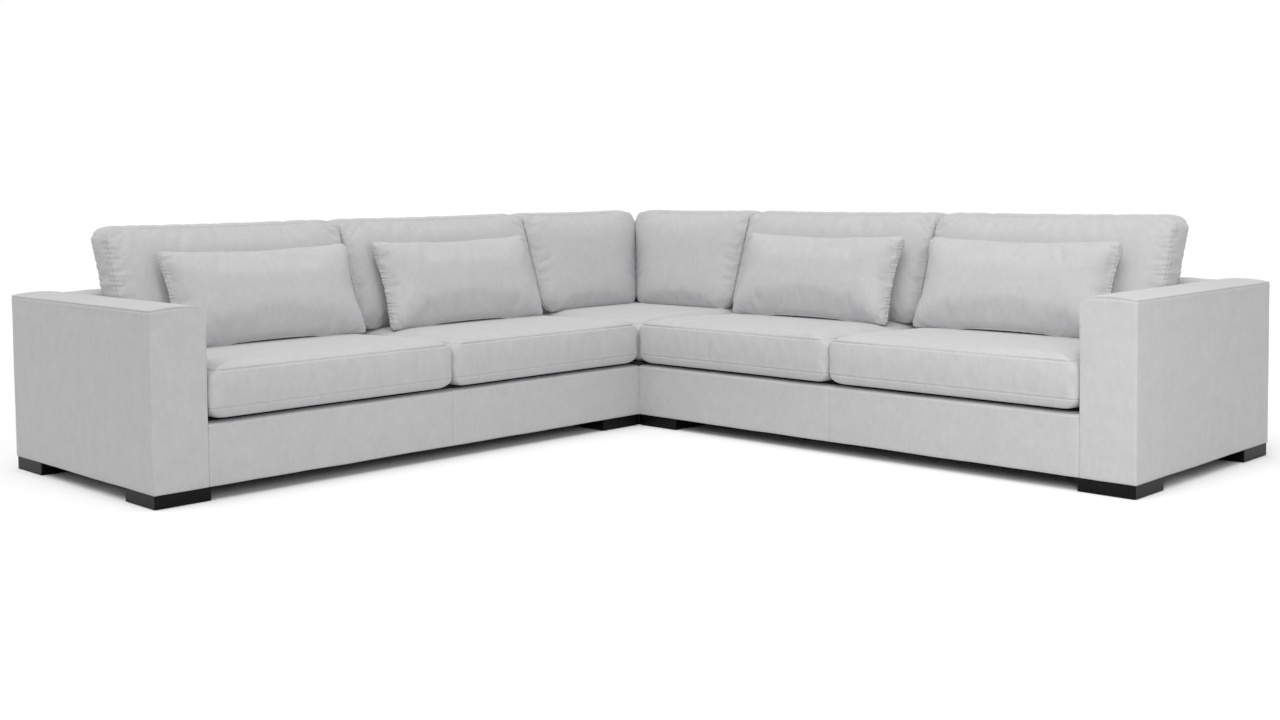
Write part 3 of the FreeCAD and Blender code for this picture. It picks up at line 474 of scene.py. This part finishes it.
def seatCushion(place, plan, seed):
    node = f"seat_cover_{place}"
    piece = shellCopy(node, f"seat_cushion_{place}")
    evenMesh(piece, plan["voxel"], plan["smoothing"])
    low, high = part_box(node)
    fillFront(piece, low, high, plan)
    heights = (low.z + plan["lowSeam"], high.z - plan["topSeam"])
    points = readPoints(piece)
    pinned = np.zeros(len(points), bool)
    for height in heights:
        pinned |= np.abs(points[:, 2] - height) < plan["pinBand"]
    pinned |= points[:, 2] < low.z + plan["underside"]  # lies on the deck
    inflate(piece, plan, pinned)
    applyModifier(piece, "SUBSURF", levels=1, render_levels=1)
    middle, half = (low + high) / 2, (high - low) / 2
    seams = [
        {
            "place": (0, 0, height), "normal": (0, 0, 1), "width": plan["seamWidth"], "depth": depth,
            "spacing": plan["spacing"], "reach": plan["gatherReach"], "gather": plan["gather"],
            "seed": seed + number,
        }
        for number, (height, depth) in enumerate(zip(heights, plan["seamDepths"]))
    ]
    outline = lambda points: aroundBox(points[:, 0] - middle.x, points[:, 1] - middle.y, half.x, half.y)
    sewSeams(piece, seams, outline)
    return piece


def dress(piece, place, body, covers):
    finishPiece(piece, velourMaterial, f"{body}_{place}", covers)


def makePair(make, plan, number, place, names):  # a cushion, and its twin on the other wing
    cushion = make(place, plan, plan["seed"] + seedStep * number)
    for piece, where in ((cushion, place), (None, twinOf.get(place))):
        if where:
            piece = piece or twinPiece(cushion, f"{names['piece']}_{where}")
            covers = (f"{names['cover']}_{where}", f"{names['filling']}_{where}")
            dress(piece, where, names["body"], covers)
    print(names["piece"], place, len(cushion.data.polygons), "faces")


seatNames = {"piece": "seat_cushion", "body": "seat", "cover": "seat_cover", "filling": "seat_foam"}
for number, place in enumerate(("left_outer", "left_inner", "corner")):
    makePair(seatCushion, seatPlan, number, place, seatNames)

# Back cushions: softer box cushions, gathered at their ends
backPlan = {
    "voxel": 0.0132, "smoothing": 2, "stiffness": 8, "bending": 0.3, "pressure": 3.0, "spareCloth": 0.022,
    "steps": 18, "cap": 0.012, "pinBand": 0.006, "frontSeam": 0.046, "rearSeam": 0.150,
    "seamWidth": 0.0022, "seamDepth": 0.003, "gather": 0.0028, "spacing": 0.019, "reach": 0.036,
    "farFolds": 0.08, "foldsEnd": 0.06, "cadCorner": 0.065, "fill": 0.75, "seed": 41,
    "corner": {"left_outer": 0.046, "left_inner": 0.034, "left_corner": 0.026},
    "foldShare": {"left_outer": 1.5, "left_inner": 0.55, "left_corner": 0.35},
}


def leanNormal(joint):  # square to the leaning face, from the way the cushion lifts
    axis = next(item["axis"] for item in frame["joints"] if item["name"] == joint)
    return (0.0, axis[2], -axis[1])


def crispTop(piece, oldRadius, newRadius):  # the sewn top corners are tighter than the filling's
    points = readPoints(piece)
    low, high = Vector(points.min(axis=0)), Vector(points.max(axis=0))
    flat = Vector((low.x, low.z - 1, 0)), Vector((high.x, high.z, 0))
    turned = tightenCorners(points[:, [0, 2, 1]], *flat, oldRadius, newRadius)
    writePoints(piece, turned[:, [0, 2, 1]])


def endFolds(points, middle, half, plan, share=1):  # strong at the ends, faint along top and bottom
    fromEnd = half.x - np.abs(points[:, 0] - middle.x)
    nearEnd = np.exp(-(np.maximum(fromEnd, 0) / plan["foldsEnd"]) ** 2)
    return plan["gather"] * share * (plan["farFolds"] + (1 - plan["farFolds"]) * nearEnd)


def backCushion(place, plan, seed):
    node = f"back_cushion_cover_{place}"
    piece = shellCopy(node, f"back_cushion_{place}")
    evenMesh(piece, plan["voxel"], plan["smoothing"])
    normal = leanNormal(f"lift_back_cushion_{place}")
    crispTop(piece, plan["cadCorner"], plan["corner"][place])
    points = readPoints(piece)
    depth = points @ np.array(normal)
    levels = (plan["frontSeam"], plan["rearSeam"])
    pinned = np.zeros(len(points), bool)
    for level in levels:
        pinned |= np.abs(depth - depth.min() - level) < plan["pinBand"]
    inflate(piece, plan, pinned)
    applyModifier(piece, "SUBSURF", levels=1, render_levels=1)
    low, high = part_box(node)
    middle, half = (low + high) / 2, (high - low) / 2
    height = lambda points: endFolds(points, middle, half, plan, plan["foldShare"][place])
    seams = [
        {
            "place": planeFrom(points, normal, level), "normal": normal, "width": plan["seamWidth"],
            "depth": plan["seamDepth"], "spacing": plan["spacing"], "reach": plan["reach"],
            "gather": height, "seed": seed + number,
        }
        for number, level in enumerate(levels)
    ]
    outline = lambda points: aroundBox(points[:, 0] - middle.x, points[:, 2] - middle.z, half.x, half.z)
    refineBeside(piece, seams)
    sewSeams(piece, seams, outline)
    return piece


backNames = {
    "piece": "back_cushion", "body": "back_cushion", "cover": "back_cushion_cover",
    "filling": "back_cushion_filling",
}
for number, place in enumerate(("left_outer", "left_inner", "left_corner")):
    makePair(backCushion, backPlan, number, place, backNames)

# Lumbar pillows: knife-edge pillows, gathered along both end seams. Their one seam stands proud
pillowPlan = {
    "voxel": 0.0093, "smoothing": 2, "stiffness": 8, "bending": 0.15, "pressure": 2.6, "spareCloth": 0.022,
    "steps": 18, "cap": 0.010, "pinBand": 0.004, "lean": 21, "seamWidth": 0.0016, "seamDepth": -0.0018,
    "gather": 0.0048, "spacing": 0.0110, "reach": 0.026, "farFolds": 0.12, "foldsEnd": 0.05,
    "fill": 0.7, "seed": 71,
}


def pillow(place, plan, seed):
    node = f"pillow_cover_{place}"
    piece = shellCopy(node, f"pillow_{place}")
    evenMesh(piece, plan["voxel"], plan["smoothing"])
    lean = math.radians(plan["lean"])
    normal = (0.0, math.cos(lean), -math.sin(lean))
    points = readPoints(piece)
    depth = points @ np.array(normal)
    middleDepth = (depth.min() + depth.max()) / 2
    pinned = np.abs(depth - middleDepth) < plan["pinBand"]
    inflate(piece, plan, pinned)
    applyModifier(piece, "SUBSURF", levels=1, render_levels=1)
    low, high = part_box(node)
    middle, half = (low + high) / 2, (high - low) / 2
    seams = [{
        "place": tuple(np.array(normal) * middleDepth), "normal": normal, "width": plan["seamWidth"],
        "depth": plan["seamDepth"], "spacing": plan["spacing"], "reach": plan["reach"],
        "gather": lambda points: endFolds(points, middle, half, plan), "seed": seed,
    }]
    outline = lambda points: aroundBox(points[:, 0] - middle.x, points[:, 2] - middle.z, half.x, half.z)
    refineBeside(piece, seams)
    sewSeams(piece, seams, outline)
    return piece


pillowNames = {"piece": "pillow", "body": "pillow", "cover": "pillow_cover", "filling": "pillow_filling"}
for number, place in enumerate(("left_outer", "left_inner")):
    makePair(pillow, pillowPlan, number, place, pillowNames)

# Upholstered frames

def block(name, low, high):
    low, high = Vector(low), Vector(high)
    bpy.ops.mesh.primitive_cube_add(size=1, location=(low + high) / 2)
    piece = only(bpy.context.object)
    piece.scale = high - low
    bpy.ops.object.transform_apply(location=True, rotation=True, scale=True)
    piece.name = name
    return piece


def bevelEdges(piece, chosen, radius, segments):
    only(piece)
    bpy.ops.object.mode_set(mode="EDIT")
    bpy.ops.mesh.select_mode(type="EDGE")
    bpy.ops.mesh.select_all(action="DESELECT")
    bpy.ops.object.mode_set(mode="OBJECT")
    points = piece.data.vertices
    for edge in piece.data.edges:
        edge.select = chosen(*(points[end].co for end in edge.vertices))
    bpy.ops.object.mode_set(mode="EDIT")
    bpy.ops.mesh.bevel(offset=radius, segments=segments, affect="EDGES")
    bpy.ops.object.mode_set(mode="OBJECT")


def edgeOn(**places):  # tests for an edge whose two ends lie at these places
    tests = [("xyz".index(axis), place) for axis, place in places.items()]
    return lambda start, end: all(
        abs(start[axis] - place) < 1e-4 and abs(end[axis] - place) < 1e-4 for axis, place in tests
    )


def anyOf(tests):
    return lambda start, end: any(test(start, end) for test in tests)


def gridOver(piece, spacing):  # even cuts along all three axes
    points = readPoints(piece)
    only(piece)
    bpy.ops.object.mode_set(mode="EDIT")
    for axis in range(3):
        low, high = points[:, axis].min(), points[:, axis].max()
        count = int(np.ceil((high - low) / spacing))
        normal = [0, 0, 0]
        normal[axis] = 1
        for step in range(1, count):
            place = [0, 0, 0]
            place[axis] = low + (high - low) * step / count
            bpy.ops.mesh.select_all(action="SELECT")
            bpy.ops.mesh.bisect(plane_co=place, plane_no=normal)
    bpy.ops.object.mode_set(mode="OBJECT")


def crownTop(piece, axis, low, high, plan, armEnd=None):  # padding lifts the middle of the top
    points = readPoints(piece)
    across = (points[:, axis] - low) / (high - low) * 2 - 1
    blend = plan["crownBlend"]
    share = np.clip((points[:, 2] - plan["topEdge"] + blend) / blend, 0, 1)
    if armEnd is not None:
        share *= smoothStep((points[:, 0] - armEnd - plan["crownStart"]) / plan["crownRamp"])
    points[:, 2] += plan["crown"] * (1 - np.clip(across, -1, 1) ** 2) * share
    writePoints(piece, points)


fineWave = {"share": 0.4, "perPeriod": 3}


def ripple(piece, height, period, seed):  # cloth over wadding is never quite flat
    points, normals = readPoints(piece), readPoints(piece, "normal")
    shift = height * drift(points, period, seed)
    shift += fineWave["share"] * height * drift(points, period / fineWave["perPeriod"], seed + 1)
    writePoints(piece, points + normals * (shift - height)[:, None])


def seamLine(place, normal, plan, seed):
    return {
        "place": place, "normal": normal, "width": plan["seamWidth"], "depth": plan["seamDepth"],
        "spacing": plan["spacing"], "reach": plan["reach"], "gather": plan["gather"], "seed": seed,
    }


bodyPlan = {
    "soft": 0.032, "upright": 0.009, "crisp": 0.005, "grid": 0.016, "crown": 0.008, "crownBlend": 0.03,
    "crownStart": 0.03, "crownRamp": 0.08, "topSeam": 0.006, "seamRamp": 0.035, "armSeamEnd": 0.06,
    "backSeamStart": 0.03, "wave": 0.0008, "wavePeriod": 0.26, "seamWidth": 0.0022, "seamDepth": 0.0020,
    "gather": 0.0006, "spacing": 0.014, "reach": 0.012, "topEdge": 0.62, "backInto": 0.040,
    "rearPanel": 0.014, "backBottom": 0.235,
}
seatSeam = 0.961  # inner corner to the seam below the gap between two seat cushions
armSeed, baseSeed, backSeed, deckSeed = 5, 15, 25, 31


def armBlock(plan):
    low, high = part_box("left_arm_cover")
    top = plan["topEdge"]
    piece = block("left_arm_upholstery", low, (high.x, high.y, top))
    bevelEdges(piece, edgeOn(x=high.x, z=top), plan["soft"], 6)
    bevelEdges(piece, edgeOn(x=high.x, y=low.y), plan["upright"], 4)
    crisp = [
        edgeOn(x=low.x, z=top), edgeOn(y=low.y, z=top), edgeOn(y=high.y, z=top), edgeOn(z=low.z),
        edgeOn(x=low.x, y=low.y), edgeOn(x=low.x, y=high.y), edgeOn(x=high.x, y=high.y),
    ]
    bevelEdges(piece, anyOf(crisp), plan["crisp"], 3)
    gridOver(piece, plan["grid"])
    middle, half = (low + high) / 2, (high - low) / 2
    outline = lambda points: aroundBox(points[:, 0] - middle.x, points[:, 1] - middle.y, half.x, half.y)
    seam = seamLine((0, 0, top - plan["topSeam"]), (0, 0, 1), plan, armSeed)
    seam["fade"] = lambda points: 1 - smoothStep(
        (points[:, 0] - high.x + plan["armSeamEnd"]) / plan["seamRamp"]
    )
    sewSeams(piece, [seam], outline)
    crownTop(piece, 0, low.x, high.x, plan)
    ripple(piece, plan["wave"], plan["wavePeriod"], armSeed + 1)
    return piece


frontPlan = {
    "padding": 0.024, "lip": 0.010, "topEdge": 0.020, "armJoint": 0.003, "cornerJoint": 0.006,
    "endEdge": 0.0039,
}


def baseFront(plan, front):
    low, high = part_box("left_base_front")
    cornerPlace = high.x
    low.x -= front["armJoint"]
    high.x += front["cornerJoint"]
    piece = block("left_base_upholstery", low, (high.x, low.y + front["padding"], high.z))
    slicePiece(piece, (0, 0, high.z - front["lip"]), (0, 0, 1))
    only(piece)
    for face in piece.data.polygons:
        face.select = face.normal.y > 0.9 and face.center.z > high.z - front["lip"]
    bpy.ops.object.mode_set(mode="EDIT")
    bpy.ops.mesh.select_mode(type="FACE")
    bpy.ops.mesh.extrude_region_move(
        TRANSFORM_OT_translate={"value": (0, high.y - low.y - front["padding"], 0)}
    )
    bpy.ops.object.mode_set(mode="OBJECT")
    bevelEdges(piece, edgeOn(y=low.y, z=high.z), front["topEdge"], 5)
    crisp = [edgeOn(y=low.y, z=low.z), edgeOn(x=low.x, y=low.y), edgeOn(x=high.x, y=low.y)]
    bevelEdges(piece, anyOf(crisp), front["endEdge"], 2)
    gridOver(piece, plan["grid"])
    seam = seamLine((cornerPlace - seatSeam, 0, 0), (1, 0, 0), plan, baseSeed)
    sewSeams(piece, [seam], lambda points: points[:, 1] + points[:, 2])
    ripple(piece, plan["wave"], plan["wavePeriod"], baseSeed + 1)
    return piece


def backBlock(plan, node, name, mitred=False):
    low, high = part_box(node)
    seamPlace = high.x - seatSeam
    if not mitred:
        low.x -= plan["backInto"]
    top, panel, frameLow = plan["topEdge"], plan["rearPanel"], plan["backBottom"]
    piece = block(name, (low.x, low.y, frameLow), (high.x, high.y, top))
    slicePiece(piece, (0, high.y - panel, 0), (0, 1, 0))
    only(piece)
    for face in piece.data.polygons:
        face.select = face.normal.z < -0.9 and face.center.y > high.y - panel
    bpy.ops.object.mode_set(mode="EDIT")
    bpy.ops.mesh.select_mode(type="FACE")
    bpy.ops.mesh.extrude_region_move(TRANSFORM_OT_translate={"value": (0, 0, low.z - frameLow)})
    bpy.ops.object.mode_set(mode="OBJECT")
    if mitred:
        only(piece)
        bpy.ops.object.mode_set(mode="EDIT")
        bpy.ops.mesh.select_all(action="SELECT")
        bpy.ops.mesh.bisect(plane_co=(0, 0, 0), plane_no=(1, -1, 0), use_fill=True, clear_outer=True)
        bpy.ops.object.mode_set(mode="OBJECT")
    bevelEdges(piece, edgeOn(y=low.y, z=top), plan["soft"], 6)
    bevelEdges(piece, edgeOn(y=high.y, z=top), plan["crisp"], 3)
    gridOver(piece, plan["grid"])
    seams = [seamLine((0, 0, top - plan["topSeam"]), (0, 0, 1), plan, backSeed)]
    seams[0]["fade"] = lambda points: smoothStep(
        (points[:, 1] - low.y - plan["backSeamStart"]) / plan["seamRamp"]
    )
    if not mitred:
        seams.append(seamLine((seamPlace, 0, 0), (1, 0, 0), plan, backSeed + 1))
    sewSeams(piece, seams, lambda points: points[:, 0] + points[:, 2])
    crownTop(piece, 1, low.y, high.y, plan, None if mitred else low.x)
    ripple(piece, plan["wave"], plan["wavePeriod"], backSeed + 2)
    return piece


def dressFrame(piece, cover):
    finishPiece(piece, velourMaterial, "sofa_frame", (cover,))


frameBlocks = (
    (armBlock(bodyPlan), "arm_cover"),
    (baseFront(bodyPlan, frontPlan), "base_front"),
    (backBlock(bodyPlan, "left_back_cover", "left_back_upholstery"), "back_cover"),
)
for piece, cover in frameBlocks:
    dressFrame(piece, f"left_{cover}")
    dressFrame(twinPiece(piece, piece.name.replace("left", "right")), f"right_{cover}")
cornerBack = backBlock(bodyPlan, "corner_left_back_cover", "corner_left_back_upholstery", mitred=True)
dressFrame(cornerBack, "corner_left_back_cover")
dressFrame(twinPiece(cornerBack, "corner_right_back_upholstery"), "corner_right_back_cover")
print("arms, base fronts and backs made")

# The deck under the seat cushions: felt in black cloth, stitched down over the webs. Its near-black is
# partly the felt's own colour and partly painted shade, darkening the gap below the cushions' front edges
deckPlan = {
    "edge": 0.006, "grid": 0.022, "wave": 0.0012, "wavePeriod": 0.2, "rows": 6, "rowDepth": 0.003,
    "rowSharpness": 9, "fill": 0.9,
}


def deckPad(node, name, plan):
    low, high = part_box(node)
    piece = block(name, low, high)
    bevelEdges(piece, lambda start, end: True, plan["edge"], 3)
    gridOver(piece, plan["grid"])
    points = readPoints(piece)
    share = (points[:, 1] - low.y) / (high.y - low.y) * plan["rows"]
    dent = plan["rowDepth"] * np.exp(-((share - np.round(share)) * plan["rowSharpness"]) ** 2)
    onTop = points[:, 2] > high.z - 2 * plan["edge"]
    points[:, 2] -= np.where(onTop, dent, 0)
    writePoints(piece, points)
    ripple(piece, plan["wave"], plan["wavePeriod"], deckSeed)
    return piece


deckFeltAndGapShade = makeDeckFeltAndGapShade()
decks = [deckPad("left_deck_pad", "left_deck", deckPlan)]
decks.append(twinPiece(decks[0], "right_deck"))
decks.append(deckPad("corner_deck_pad", "corner_deck", deckPlan))
for piece in decks:
    finishPiece(piece, deckFeltAndGapShade, "sofa_frame", (piece.name + "_pad",))
print("deck pads made")

finishes = {
    "_frame": makeTimber(), "webbing": makeWebbing(), "dust_cover": makeDustCloth(), "feet": makeLacquer(),
    "foot_glides": makeFelt(), "bolts": makeZinc("Zinc plated steel bolt", 0.32),
    "joining_plates": makeZinc("Galvanised steel plate", 0.45),
}
for name, node in frame["nodes"].items():
    if not node.hide_render:
        finish = next(finish for ending, finish in finishes.items() if name.endswith(ending))
        node.data.materials.clear()
        node.data.materials.append(finish)

# Stage and camera
stagePlan = {
    "side": 80.0, "seenColour": "#FFFFFF", "bounceColour": "#D2D2D2", "skyStrength": 0.60,
    "sunStrength": 1.38, "sunFrom": (-0.30, -0.10, 0.95), "sunAngle": 50, "sideLamp": (-1.3, -2.6, 1.3),
    "sideAim": (0.3, -0.4, 0.3), "sideSize": 1.2, "sideWatts": 22,
}
bpy.ops.mesh.primitive_plane_add(size=stagePlan["side"], location=(0, 0, 0))
floor = bpy.context.object
floor.name = "floor"
floorMaterial = bpy.data.materials.new("Pale studio floor")
floorMaterial.use_nodes = True
tree = floorMaterial.node_tree
tree.nodes.clear()


def seenRays(tree):  # 1 for rays from the camera, or by way of gloss or glass
    rays = addNode(tree, "LightPath").outputs
    either = {0: rays["Is Camera Ray"], 1: rays["Is Glossy Ray"]}
    seen = addNode(tree, "Math", {"operation": "MAXIMUM"}, either)
    either = {0: seen.outputs[0], 1: rays["Is Transmission Ray"]}
    return addNode(tree, "Math", {"operation": "MAXIMUM"}, either).outputs[0]


seen = addNode(tree, "BsdfDiffuse", {"Color": linearColour(stagePlan["seenColour"])})
plain = addNode(tree, "BsdfDiffuse", {"Color": linearColour(stagePlan["bounceColour"])})
mixed = addNode(tree, "MixShader", None, {0: seenRays(tree), 1: plain.outputs[0], 2: seen.outputs[0]})
addNode(tree, "OutputMaterial", None, {"Surface": mixed.outputs[0]})
floor.data.materials.append(floorMaterial)

world = bpy.context.scene.world or bpy.data.worlds.new("Studio")
bpy.context.scene.world = world
world.use_nodes = True
tree = world.node_tree
tree.nodes.clear()
soft = addNode(tree, "Background", {"Color": (1, 1, 1, 1), "Strength": stagePlan["skyStrength"]})
white = addNode(tree, "Background", {"Color": (1, 1, 1, 1), "Strength": 1.0})
mixed = addNode(tree, "MixShader", None, {0: seenRays(tree), 1: soft.outputs[0], 2: white.outputs[0]})
addNode(tree, "OutputWorld", None, {"Surface": mixed.outputs[0]})


def addLamp(kind, name, place, aim, energy):
    bpy.ops.object.light_add(type=kind, location=place)
    lamp = bpy.context.object
    lamp.name = name
    lamp.data.energy = energy
    lamp.rotation_euler = (Vector(aim) - Vector(place)).to_track_quat("-Z", "Y").to_euler()
    return lamp.data


softbox = addLamp("SUN", "overheadSoftbox", stagePlan["sunFrom"], (0, 0, 0), stagePlan["sunStrength"])
softbox.angle = math.radians(stagePlan["sunAngle"])
sideLamp = addLamp("AREA", "sideLamp", stagePlan["sideLamp"], stagePlan["sideAim"], stagePlan["sideWatts"])
sideLamp.shape = "DISK"
sideLamp.size = stagePlan["sideSize"]

# The photo's camera, fitted to 20 points: its place is from the floor below the inner corner, its
# focal length and picture centre are in pixels of the photo's frame
cameraPlan = {
    "place": (-4.3149, -4.2306, 1.0057), "yaw": 0.78735, "pitch": -0.05413, "roll": -0.01105,
    "focal": 1484.91, "centre": (620, 260), "frame": (1280, 720), "sensorMm": 36, "farthest": 100,
}
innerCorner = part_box("left_base_front")[1].x + millimetre  # the two base fronts meet here
cosPitch = math.cos(cameraPlan["pitch"])
level = Vector((math.cos(cameraPlan["yaw"]), math.sin(cameraPlan["yaw"]), 0))
ahead = cosPitch * level + Vector((0, 0, math.sin(cameraPlan["pitch"])))
right = ahead.cross(Vector((0, 0, 1))).normalized()
up = right.cross(ahead)
cosRoll, sinRoll = math.cos(cameraPlan["roll"]), math.sin(cameraPlan["roll"])
rolledRight = right * cosRoll + up * sinRoll
rolledUp = up * cosRoll - right * sinRoll
bpy.ops.object.camera_add()
camera = bpy.context.object
camera.name = "PhotoCamera"
place = Vector(cameraPlan["place"]) + Vector((innerCorner, innerCorner, 0))
turn = Matrix((rolledRight, rolledUp, -ahead)).transposed().to_4x4()
camera.matrix_world = Matrix.Translation(place) @ turn
frameWidth, frameHeight = cameraPlan["frame"]
camera.data.sensor_width = cameraPlan["sensorMm"]
camera.data.lens = cameraPlan["focal"] / frameWidth * cameraPlan["sensorMm"]
camera.data.shift_x = (frameWidth / 2 - cameraPlan["centre"][0]) / frameWidth
camera.data.shift_y = (cameraPlan["centre"][1] - frameHeight / 2) / frameWidth
camera.data.clip_end = cameraPlan["farthest"]
bpy.context.scene.camera = camera
bpy.context.scene.view_settings.view_transform = "Standard"
print("stage and camera made")
